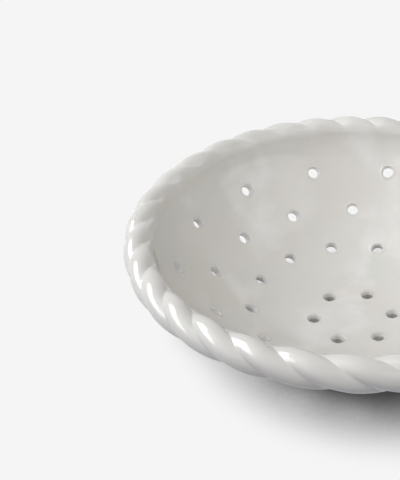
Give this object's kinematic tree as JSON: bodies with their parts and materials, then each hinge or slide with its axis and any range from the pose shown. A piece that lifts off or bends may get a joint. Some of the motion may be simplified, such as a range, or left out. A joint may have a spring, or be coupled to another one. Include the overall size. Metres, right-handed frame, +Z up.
{
  "type": "berry colander bowl",
  "caption": "Round glazed stoneware bowl with drain holes in its floor and wall, a twisted rope rim and a foot ring, for rinsing and draining berries.",
  "frame": {"origin": "middle of the foot ring's underside, on the table", "axes": "+Z up along the bowl's axis, out of its mouth; +Y away from the picture's viewer, +X to the viewer's right"},
  "size_m": [0.2498, 0.2494, 0.0834],
  "materials": {
    "white_glaze": "glossy warm white glaze over pale stoneware, slightly pooled in the grooves and at the edges of the holes",
    "rope_glaze": "the same glossy warm white glaze, thinner and brighter over the crowns of the twisted strands",
    "foot_clay": "glazed down to a line above the table, bare sponged stoneware where it stands"
  },
  "bodies": {
    "root": {"bowl_body": "white_glaze", "foot_ring": "foot_clay", "rope_strand_1": "rope_glaze", "rope_strand_2": "rope_glaze", "rope_strand_3": "rope_glaze", "inside_luting_coil": "white_glaze", "outside_luting_coil": "white_glaze", "foot_luting_coil": "white_glaze"}
  },
  "joints": []
}
